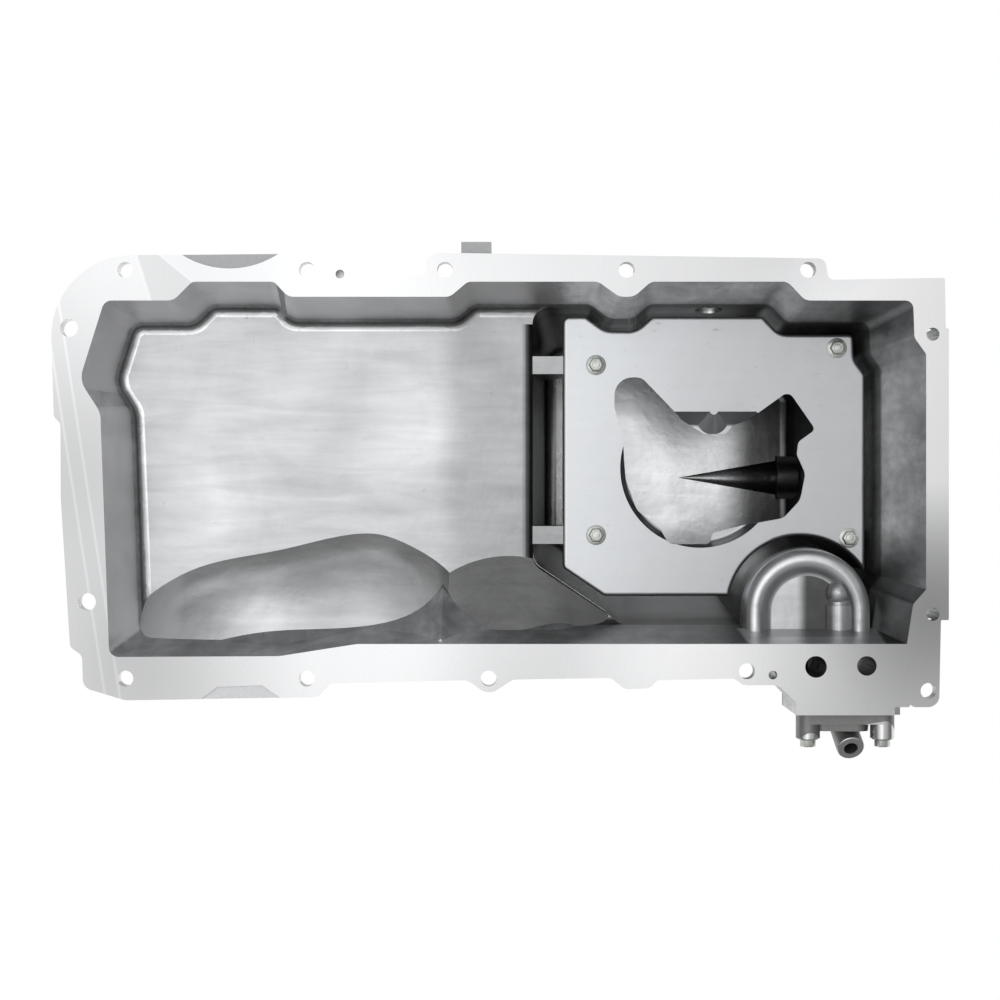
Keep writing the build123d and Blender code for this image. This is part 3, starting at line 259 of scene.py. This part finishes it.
def castFinish():
    look = castLooks
    cast = Finish("castAluminium")
    place = cast.place()
    x, y, z = cast.parts(place)
    nx, ny, nz = cast.facing()

    # Where each finish lies
    up = cast.between(nz, *look["levelFace"])
    railFace = cast.between(z, *look["railFace"]) * up
    coverFace = cast.between(y, *look["coverFace"]) * cast.between(z, *look["coverFaceFoot"])
    rearFace = cast.between(x, *look["rearFace"])
    flat = cast.node("ShaderNodeVectorMath", {"operation": "MULTIPLY"}, {0: place, 1: (1, 1, 0)})
    ports = cast.most(*[
        cast.between(cast.distance(flat, spot), *look["portWall"]) for spot in look["ports"]])
    machined = cast.most(cast.most(cast.most(railFace, coverFace), rearFace),
                         ports * cast.between(z, *look["portFloor"]))
    outward = nx * (x - look["middleX"]) * look["sideways"] + ny * y
    outside = cast.most(cast.between(outward, *look["outward"]), cast.between(nz, *look["underside"]))
    lugTop = cast.between(y, *look["lugSide"]) * cast.between(z, *look["lugDepth"])
    dips = cast.between(z, *look["dipTop"]) * cast.between(z, *look["dipFloor"]) * up
    rough = cast.most(cast.most(outside, lugTop), dips)
    level = cast.between(nz, *look["floorLevel"])
    sloping = cast.between(nz, *look["floorSlope"])
    rearward = cast.between(x, *look["rearward"])
    deep = cast.between(z, *look["sumpDepth"])

    clouds, smears, blots, drags = [
        cast.noise(**look[pattern]) for pattern in ("clouds", "smears", "blots", "drags")]
    stains = cast.between(cast.noise(**look["stains"]), *look["stainFrom"])

    # Inside: level floors painted lighter than the sloping humps, and grey walls
    # Walls painted lighter at the front, darker at the rear and on the lower side, and in painted patches
    wall = look["frontWall"] + rearward * (look["rearWall"] - look["frontWall"])
    wall = wall * cast.keep(look["lowerWallShade"], cast.between(ny, *look["lowerSide"]))
    wall = wall * cast.uneven(blots, look["blotSwing"]) * cast.uneven(drags, look["dragSwing"])
    wall = wall * cast.patches(flat, look["wallPaintedShading"])
    shallow = look["hump"] + level * (look["floor"] - look["hump"])
    # Floors and humps darker rearward of X 130
    shallow = shallow * cast.keep(look["floorDarker"], cast.between(x, *look["floorDarkerFrom"]))
    # Patches of painted highlight on the floors
    shallow = shallow * cast.patches(flat, look["floorPaintedHighlights"])
    # Painted shade under the plate: the sump darker towards the rear and on its walls
    sump = look["sumpLeft"] + cast.between(x, *look["sumpEdge"]) * (look["sumpRight"] - look["sumpLeft"])
    above = cast.blend(sloping, wall, shallow)
    below = cast.blend(sloping, look["sumpWallShade"], sump)
    tone = cast.blend(deep, above, below)

    # Painted shade in the gap and the recess, a painted highlight on the turret top, and painted shade at
    # the foot of the walls
    gap = cast.between(z, *look["gapDepth"]) * cast.between(x, *look["gapTo"])
    gap = gap * (1 - level * cast.between(z, *look["ribDepth"]))
    tone = tone * cast.keep(look["gap"], gap)
    away = cast.distance(flat, look["turretPlace"])
    onTurret = cast.between(away, *look["turretReach"]) * cast.between(z, *look["turretTop"])
    tone = cast.blend(onTurret, tone, look["turret"])
    recess = cast.between(z, *look["recessFloor"]) * cast.between(away, *look["recessReach"])
    tone = tone * cast.keep(look["recess"], recess * level * cast.between(x, *look["recessFrom"]))
    ridge = cast.between(away, *look["ridgeReach"]) * cast.between(z, *look["ridgeDepth"])
    tone = tone * (1 - look["ridgeShade"] * (1 - level) * ridge)
    # Painted shade in the foot fillet and a painted highlight line at its edge
    low = cast.between(z, look["footTop"], look["footTop"] - look["footDepth"]) * (1 - deep)
    foot = low * cast.between(nz, *look["footFace"])
    rim = low * cast.between(nz, *look["rimFace"]) * cast.between(nz, *look["rimEnd"])
    tone = tone * cast.keep(look["foot"], foot) * (1 + (look["rim"] - 1) * rim)
    tone = tone * cast.uneven(clouds, look["cloudSwing"]) * cast.uneven(smears, look["smearSwing"])
    inside = cast.grey(tone * (1 - look["stainShade"] * stains), look["insideTint"])

    # Outside: grey sand-cast skin with darker pores
    grain = cast.noise(**look["grain"])
    pores = look["skinBase"] + look["skinGrain"] * grain + look["skinClouds"] * clouds
    skinTone = look["outside"] * pores
    skinTone = skinTone * (1 + (look["lowerDip"] - 1) * dips * cast.between(y, *look["lowerRail"]))
    skin = cast.grey(skinTone, look["outsideTint"])

    # Machined: bright, with long faint cutter marks round a far centre, and patches of painted light and
    # shade
    sweep = cast.distance(flat, look["cutterCentre"])
    cutter = cast.node("ShaderNodeTexNoise", {"noise_dimensions": "1D"},
                       {"W": sweep, "Scale": look["cutterScale"], "Detail": 2.0, "Roughness": 0.6})
    bands = cast.noise(**look["bands"])
    marks = look["markBase"] + look["cutterMarks"] * cutter + look["bandMarks"] * bands
    cutTone = look["machined"] * marks * cast.patches(flat, look["railPaintedShading"])
    first, second, trail = [x + slope * y - reach for slope, reach in (
        look["overlapFirst"], look["overlapSecond"], look["trail"])]
    corner = cast.between(y, *look["overlapCorner"])
    overlap = corner * cast.between(first, -1, 0) * cast.between(second, 1, 0)
    cutTone = cutTone * (1 - look["overlapShade"] * overlap)
    for line, share in ((first, corner), (second, corner), (trail, 1), (trail - look["trailGap"], 1)):
        cutTone = cutTone * (1 + look["lineGain"] * share * cast.between(line * line, *look["lineEdge"]))
    cutTone = cutTone * (1 - look["portShade"] * ports * cast.between(z, *look["portDark"]))
    cut = cast.grey(cutTone, look["machinedTint"])

    colour = cast.mix(machined, cast.mix(rough, inside, skin), cut)
    roughness = look["roughness"] + look["cloudRougher"] * clouds + look["stainRougher"] * stains
    roughness = roughness - look["smearSmoother"] * smears + look["wallRougher"] * (1 - sloping)
    roughness = cast.blend(rough, roughness, look["skinRoughness"])
    roughness = cast.blend(machined, roughness, look["cutRoughness"] + look["markRougher"] * cutter)
    # The tray's walls are less metallic, more so at the front
    lessMetal = look["wallLessMetal"] * (1 - sloping) * (1 - deep)
    lessMetal = lessMetal * (1 - look["rearMoreMetal"] * rearward)
    metallic = 1 - lessMetal * (1 - machined)
    ripple = cast.noise(**look["ripples"]) + look["fineShare"] * cast.noise(**look["fineRipples"])
    height = cast.blend(rough, ripple * look["insideDepth"], grain * look["grainDepth"])
    height = cast.blend(machined, height, cutter * look["cutterDepth"])
    return cast.surface(colour, roughness, metallic, cast.bump(height))


dress("pan_casting", castFinish())
print("stage: casting finished")


# Baffle plate: pressed sheet steel with a pale satin skin and small handling marks
plateLooks = {"tone": 0.62, "paler": 1.2, "palerTo": (215, 330), "speckShade": 0.25, "scuffShade": 0.08,
              "roughness": 0.3, "dents": 0.25, "rollMarks": 0.01}


def plateFinish():
    look = plateLooks
    sheet = Finish("sheetSteel")
    clouds = sheet.noise(60, 3, 0.5, twist=0.5)
    rolled = sheet.noise(7, 3, 0.6, stretch=(0.05, 1, 1))
    specks = sheet.between(sheet.noise(1.4, 2, 0.5, start=(5, 2, 8)), 0.7, 0.78)
    scuffs = sheet.between(sheet.noise(5, 4, 0.7, stretch=(0.3, 1, 1), twist=2.0), 0.62, 0.72)
    # Painted highlight: paler towards the tray
    along = sheet.parts(sheet.place())[0]
    paler = look["paler"] + (1 - look["paler"]) * sheet.between(along, *look["palerTo"])
    tone = look["tone"] * paler * (0.9 + 0.14 * clouds + 0.05 * rolled)
    tone = tone * (1 - look["speckShade"] * specks) * (1 - look["scuffShade"] * scuffs)
    roughness = look["roughness"] + 0.12 * clouds + 0.12 * scuffs
    height = sheet.noise(40, 2, 0.5) * look["dents"] + rolled * look["rollMarks"]
    return sheet.surface(sheet.grey(tone, (0.97, 0.995, 1.02)), roughness, 1.0, sheet.bump(height))


dress("baffle_plate", plateFinish())
print("stage: baffle plate finished")


# Cover on the side of the passages: darker casting, with a machined ring at the hose port's end
coverLooks = {"tone": 0.3, "portTip": (394.0, -171.2, -20.0), "portAxis": (2.2, -14.0, 21.0),
              "ringDepth": 0.5, "ringEdge": 0.2, "ringColour": (0.78, 0.78, 0.78), "roughness": 0.5,
              "ringSmoother": 0.25, "grainDepth": 0.18}


def coverFinish():
    look = coverLooks
    axis = Vector(look["portAxis"]).normalized()
    cover = Finish("coverCasting")
    along = cover.node("ShaderNodeVectorMath", {"operation": "DOT_PRODUCT"},
                       {0: cover.place(), 1: tuple(axis)}, output=1)
    ringStart = axis.dot(Vector(look["portTip"])) - look["ringDepth"]
    ring = cover.between(along, ringStart, ringStart + look["ringEdge"])
    grain = cover.noise(1.0, 4, 0.7)
    clouds = cover.noise(14, 3, 0.6)
    tone = look["tone"] * (0.7 + 0.4 * grain + 0.3 * clouds)
    colour = cover.mix(ring, cover.grey(tone, (1, 1, 0.99)), look["ringColour"])
    roughness = look["roughness"] - look["ringSmoother"] * ring
    return cover.surface(colour, roughness, 1.0, cover.bump(grain * (1 - ring) * look["grainDepth"]))


dress("passage_cover", coverFinish())
print("stage: cover finished")


# Small finishes: two colours mixed by a pattern, a roughness and its rise with it, and a bump.
# A pattern is its size in millimetres, its detail and its roughness.
smallLooks = {
    "redGasket": {"colours": ((0.62, 0.09, 0.03), (0.42, 0.05, 0.03)), "pattern": (3, 3, 0.6),
                  "roughness": (0.6, 0.2), "metallic": 0.0, "bump": (0.8, 3, 0.55), "bumpDepth": 0.05},
    "zincPlate": {"colours": ((0.62, 0.64, 0.6), (0.42, 0.45, 0.42)), "pattern": (2.5, 3, 0.6),
                  "roughness": (0.2, 0.16), "metallic": 1.0, "bump": (0.4, 2, 0.5), "bumpDepth": 0.015},
    "springSteel": {"colours": ((0.42, 0.42, 0.43), (0.3, 0.29, 0.28)), "pattern": (1.2, 3, 0.6),
                    "roughness": (0.28, 0.15), "metallic": 1.0, "bump": (0.5, 3, 0.55), "bumpDepth": 0.01},
    "sealRubber": {"colours": ((0.03, 0.03, 0.03), (0.06, 0.06, 0.06)), "pattern": (2.0, 4, 0.7),
                   "roughness": (0.5, 0.25), "metallic": 0.0, "bump": (0.6, 3, 0.55), "bumpDepth": 0.03},
}


def smallFinish(name):
    look = smallLooks[name]
    finish = Finish(name)
    pattern = finish.noise(*look["pattern"])
    base, rise = look["roughness"]
    return finish.surface(finish.mix(pattern, *look["colours"]), base + rise * pattern, look["metallic"],
                          finish.bump(finish.noise(*look["bump"]), look["bumpDepth"]))


zinc = smallFinish("zincPlate")
springSteel = smallFinish("springSteel")
rubber = smallFinish("sealRubber")
dress("cover_gasket", smallFinish("redGasket"))
for name in ("bypass_valve_seat", "bypass_valve_disc", "bypass_valve_spring"):
    dress(name, springSteel)
for name in ("drain_plug_seal", "level_port_plug_seal"):
    dress(name, rubber)
for name in nodes:
    if "bolt" in name or name in ("drain_plug", "level_port_plug", "gallery_cup_plug", "filter_nipple"):
        dress(name, zinc)
print("stage: small finishes done")


def meshPiece(name, shape, degrees, material):
    # Shades curved faces smooth and keeps corners sharper than these degrees
    mesh = bpy.data.meshes.new(name)
    shape.to_mesh(mesh)
    shape.free()
    mesh.shade_smooth()
    mesh.set_sharp_from_angle(angle=math.radians(degrees))
    mesh.materials.append(material)
    piece = bpy.data.objects.new(name, mesh)
    bpy.context.scene.collection.objects.link(piece)
    return piece


def lathe(shape, profile, steps):
    # Spins radius and height pairs round Z
    spots = [shape.verts.new((radius, 0, height)) for radius, height in profile]
    edges = [shape.edges.new(pair) for pair in zip(spots, spots[1:])]
    bmesh.ops.spin(shape, geom=spots + edges, cent=(0, 0, 0), axis=(0, 0, 1), angle=2 * math.pi,
                   steps=steps, use_merge=True)


def softEdges(shape, edges, width, segments):
    bmesh.ops.bevel(shape, geom=edges, offset=width, segments=segments, profile=0.5, affect="EDGES",
                    material=-1)


# Flange bolts and plugs: turned flange and shank, hexagon with soft corners and a turned top
boltSizes = {
    "m6": {"across": 8.6, "head": 5.6, "flangeRadius": 6.5, "flange": 1.4, "shank": 3.0,
           "corner": 0.25, "top": 0.7},
    "drain": {"across": 22.0, "head": 9.0, "flangeRadius": 14.0, "flange": 3.0, "shank": 10.0,
              "corner": 0.5, "top": 1.2},
    "level": {"across": 19.0, "head": 8.0, "flangeRadius": 12.5, "flange": 3.0, "shank": 8.75,
              "corner": 0.5, "top": 1.1},
    "sunk": 0.2, "ringShare": 0.36, "roundSteps": 48, "ringSteps": 32, "sharpFrom": 32,
}


def flangeBolt(name, nodeName, axis, kind):
    size, sunk = boltSizes[kind], boltSizes["sunk"]
    low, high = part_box(nodeName)
    along = Vector(axis)
    reach = abs((high - low).dot(along)) / mm
    head, flange, wide = size["head"], size["flange"], size["flangeRadius"]
    shank, soft = size["shank"], size["corner"]
    tip = head - reach
    shape = bmesh.new()
    lathe(shape, [
        (0, tip), (shank * 0.75, tip), (shank, tip + shank * 0.25), (shank, -0.2), (shank + 0.2, 0),
        (wide - soft, 0), (wide, soft * 0.6), (wide - soft * 0.3, flange * 0.55),
        (size["across"] * 0.56, flange), (0, flange),
    ], boltSizes["roundSteps"])
    # Hexagon, sunk a little into the flange
    pointed = size["across"] / math.sqrt(3)
    corners = [shape.verts.new((math.cos(turn) * pointed, math.sin(turn) * pointed, flange - sunk))
               for turn in [corner * math.pi / 3 for corner in range(6)]]
    foot = shape.faces.new(corners[::-1])
    raised = bmesh.ops.extrude_face_region(shape, geom=[foot])["geom"]
    lifted = [v for v in raised if isinstance(v, bmesh.types.BMVert)]
    bmesh.ops.translate(shape, vec=(0, 0, head - flange + sunk - 0.02), verts=lifted)
    uprights = [e for v in lifted for e in v.link_edges if abs(e.verts[0].co.z - e.verts[1].co.z) > 0.1]
    softEdges(shape, uprights, soft, 2)
    rim = [e for e in shape.edges if min(v.co.z for v in e.verts) > head - 0.1]
    softEdges(shape, rim, size["top"], 3)
    # Turned ring and hollow on the top
    ring = size["across"] * boltSizes["ringShare"]
    lathe(shape, [
        (0, head - 0.3), (ring, head - 0.3), (ring, head - 0.01), (ring - 0.06 * ring, head),
        (ring * 0.82, head), (ring * 0.7, head - 0.05 * ring), (ring * 0.2, head - 0.09 * ring),
        (0, head - 0.05 * ring),
    ], boltSizes["ringSteps"])
    bmesh.ops.recalc_face_normals(shape, faces=shape.faces)
    # Turn it to its axis, with the head's top at the node's outer end
    middle = (low + high) / 2
    turn = Vector((0, 0, 1)).rotation_difference(along).to_matrix().to_4x4()
    spot = Matrix.Translation(middle + along * (reach * mm / 2 - head * mm)) @ turn @ Matrix.Scale(mm, 4)
    bmesh.ops.transform(shape, matrix=spot, verts=shape.verts)
    bolt = meshPiece(name, shape, boltSizes["sharpFrom"], zinc)
    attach(bolt, "pan")
    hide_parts(nodeName)


for number in range(1, 5):
    flangeBolt(f"baffleBolt{number}", f"baffle_bolt_{number}", (0, 0, 1), "m6")
for number in (1, 2):
    flangeBolt(f"coverBolt{number}", f"cover_bolt_{number}", (0, -1, 0), "m6")
flangeBolt("drainPlug", "drain_plug", (1, 0, 0), "drain")
flangeBolt("levelPlug", "level_port_plug", (0, 1, 0), "level")
print("stage: bolts and plugs made")


# Filter nipple: a tube with a real M20 x 1.5 thread on its lower part and a plain neck in the casting
nippleSize = {"radius": 10.0, "bore": 6.0, "neck": 9.0, "neckLength": 10.5, "pitch": 1.5, "depth": 0.92,
              "steps": 48, "chamfer": 1.0, "sharpFrom": 25}


def circleEdges(shape, radius, height, steps):
    spots = bmesh.ops.create_circle(shape, segments=steps, radius=radius,
                                    matrix=Matrix.Translation((0, 0, height)))["verts"]
    return list({e for v in spots for e in v.link_edges})


def threadedTube(name, nodeName, size):
    low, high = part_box(nodeName)
    middle = (low + high) / 2
    bottom, top = low.z / mm, high.z / mm
    shoulder = top - size["neckLength"]
    crest, root, pitch, steps = size["radius"], size["radius"] - size["depth"], size["pitch"], size["steps"]
    same = 0.001
    shape = bmesh.new()
    # One turn's profile, wound up past both ends and then cut off at them
    profile = [(root, 0), (root, pitch * 0.2), (crest, pitch * 0.55), (crest, pitch * 0.65), (root, pitch)]
    turns = math.ceil((shoulder - bottom) / pitch) + 2
    spots = [shape.verts.new((radius, 0, bottom - pitch + height)) for radius, height in profile]
    edges = [shape.edges.new(pair) for pair in zip(spots, spots[1:])]
    bmesh.ops.spin(shape, geom=spots + edges, cent=(0, 0, 0), axis=(0, 0, 1), dvec=(0, 0, pitch / steps),
                   angle=2 * math.pi * turns, steps=steps * turns)
    bmesh.ops.remove_doubles(shape, verts=shape.verts, dist=same)
    for height, side, radius in ((bottom, -1, size["bore"]), (shoulder, 1, size["neck"])):
        everything = shape.verts[:] + shape.edges[:] + shape.faces[:]
        bmesh.ops.bisect_plane(shape, geom=everything, plane_co=(0, 0, height), plane_no=(0, 0, side),
                               clear_outer=True)
        # The thread runs out in a chamfer at each end
        for spot in shape.verts:
            most = crest - size["chamfer"] + abs(spot.co.z - height)
            across = math.hypot(spot.co.x, spot.co.y)
            if across > most:
                spot.co.x *= most / across
                spot.co.y *= most / across
        ends = [e for e in shape.edges if e.is_boundary
                and all(abs(v.co.z - height) < same for v in e.verts)]
        rim = circleEdges(shape, radius, height, steps)
        bmesh.ops.bridge_loops(shape, edges=ends + rim)
    # Neck up into the casting, then the bore
    raised = bmesh.ops.extrude_edge_only(shape, edges=rim)["geom"]
    lifted = [v for v in raised if isinstance(v, bmesh.types.BMVert)]
    bmesh.ops.translate(shape, vec=(0, 0, top - shoulder), verts=lifted)
    neckTop = [e for e in raised if isinstance(e, bmesh.types.BMEdge) and e.is_boundary]
    bmesh.ops.bridge_loops(shape, edges=neckTop + circleEdges(shape, size["bore"], top, steps))
    bmesh.ops.bridge_loops(shape, edges=[e for e in shape.edges if e.is_boundary])
    bmesh.ops.recalc_face_normals(shape, faces=shape.faces)
    spot = Matrix.Translation((middle.x, middle.y, 0)) @ Matrix.Scale(mm, 4)
    bmesh.ops.transform(shape, matrix=spot, verts=shape.verts)
    tube = meshPiece(name, shape, size["sharpFrom"], zinc)
    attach(tube, "pan")
    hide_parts(nodeName)


threadedTube("filterNipple", "filter_nipple", nippleSize)
print("stage: filter nipple made")


# Bypass valve spring: a round-wire coil
springSize = {"radius": 5.2, "wire": 0.9, "turns": 5, "steps": 32, "sides": 10, "lift": 3.0,
              "sharpFrom": 40}


def coilSpring(name, nodeName, size):
    low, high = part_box(nodeName)
    middle = (low + high) / 2
    length = (high.y - low.y) / mm
    turned = size["turns"] * size["steps"]
    shape = bmesh.new()
    upright = Matrix.Translation((size["radius"], 0, 0)) @ Matrix.Rotation(math.pi / 2, 4, "X")
    ring = bmesh.ops.create_circle(shape, segments=size["sides"], radius=size["wire"] / 2,
                                   matrix=upright)["verts"]
    edges = list({e for v in ring for e in v.link_edges})
    bmesh.ops.spin(shape, geom=ring + edges, cent=(0, 0, 0), axis=(0, 0, 1),
                   angle=2 * math.pi * size["turns"], dvec=(0, 0, (length - size["wire"]) / turned),
                   steps=turned)
    bmesh.ops.holes_fill(shape, edges=[e for e in shape.edges if e.is_boundary])
    bmesh.ops.recalc_face_normals(shape, faces=shape.faces)
    start = Vector((middle.x, low.y + size["wire"] / 2 * mm, middle.z))
    spot = Matrix.Translation(start) @ Matrix.Rotation(-math.pi / 2, 4, "X") @ Matrix.Scale(mm, 4)
    bmesh.ops.transform(shape, matrix=spot, verts=shape.verts)
    coil = meshPiece(name, shape, size["sharpFrom"], springSteel)
    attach(coil, "pan")
    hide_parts(nodeName)
    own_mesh(coil)


coilSpring("bypassSpring", "bypass_valve_spring", springSize)
print("stage: valve spring made")


# Studio: pale floor under the part, a sky brighter on one side, a softbox and a camera straight above
studio = {
    "middle": (0.17, 0.0), "floorSize": 4.0, "floorTone": 0.9,
    "horizon": 0.16, "skyDim": 0.5, "skyBright": 0.9, "skyFrom": (0.4, 0.93), "brightSide": (-0.3, -0.02),
    "softbox": 3.0, "softboxSize": 1.2, "softboxPlace": (-0.15, 0.2, 2.0), "softboxAim": -0.05,
    "cameraPlace": (0.17472, -0.01588, 1.290), "lens": 75.46, "sensor": 36.0,
}


def floorFinish():
    # Plain white to the camera, to metal and to glass, and matt to everything else
    pale = Finish("paleFloor")
    ray = [pale.node("ShaderNodeLightPath", output=i) for i in (0, 3, 6)]
    seen = pale.most(pale.most(ray[0], ray[1]), ray[2])
    matt = pale.node("ShaderNodeBsdfDiffuse", None, {"Color": (*[studio["floorTone"]] * 3, 1)})
    glow = pale.node("ShaderNodeEmission", None, {"Color": (1, 1, 1, 1), "Strength": 1.0})
    both = pale.node("ShaderNodeMixShader", None, {0: seen, 1: matt, 2: glow})
    pale.node("ShaderNodeOutputMaterial", None, {0: both})
    return pale.material


floorShape = bmesh.new()
bmesh.ops.create_grid(floorShape, x_segments=1, y_segments=1, size=studio["floorSize"])
bmesh.ops.translate(floorShape, vec=(*studio["middle"], cadBox[0][2]), verts=floorShape.verts)
floor = meshPiece("studioFloor", floorShape, 30, floorFinish())

world = bpy.data.worlds.new("studioSky")
bpy.context.scene.world = world
world.use_nodes = True
sky = Finish("studioSky", world.node_tree)
dx, dy, dz = sky.parts(sky.node("ShaderNodeTexCoord", output=0))
height = sky.between(dz, *studio["skyFrom"])
side = sky.between(dy * 0.5 - dx, *studio["brightSide"])
overhead = studio["skyDim"] - studio["horizon"] + side * (studio["skyBright"] - studio["skyDim"])
strength = studio["horizon"] + height * overhead
cameraRay = sky.node("ShaderNodeLightPath", output=0)
strength = strength + cameraRay * (1 - strength)
light = sky.node("ShaderNodeBackground", None, {"Color": (1, 1, 1, 1), "Strength": strength})
sky.node("ShaderNodeOutputWorld", None, {0: light})

keyLight = bpy.data.lights.new("overheadSoftbox", "AREA")
keyLight.shape = "RECTANGLE"
keyLight.size = studio["softboxSize"]
keyLight.size_y = studio["softboxSize"]
keyLight.energy = studio["softbox"]
key = bpy.data.objects.new("overheadSoftbox", keyLight)
key.location = studio["softboxPlace"]
aim = Vector((*studio["middle"], studio["softboxAim"])) - key.location
key.rotation_euler = aim.to_track_quat("-Z", "Y").to_euler()
bpy.context.scene.collection.objects.link(key)

cameraData = bpy.data.cameras.new("overheadCamera")
cameraData.lens = studio["lens"]
cameraData.sensor_width = studio["sensor"]
camera = bpy.data.objects.new("overheadCamera", cameraData)
camera.location = studio["cameraPlace"]
bpy.context.scene.collection.objects.link(camera)
bpy.context.scene.camera = camera
bpy.context.scene.view_settings.view_transform = "Standard"
print("stage: studio set")
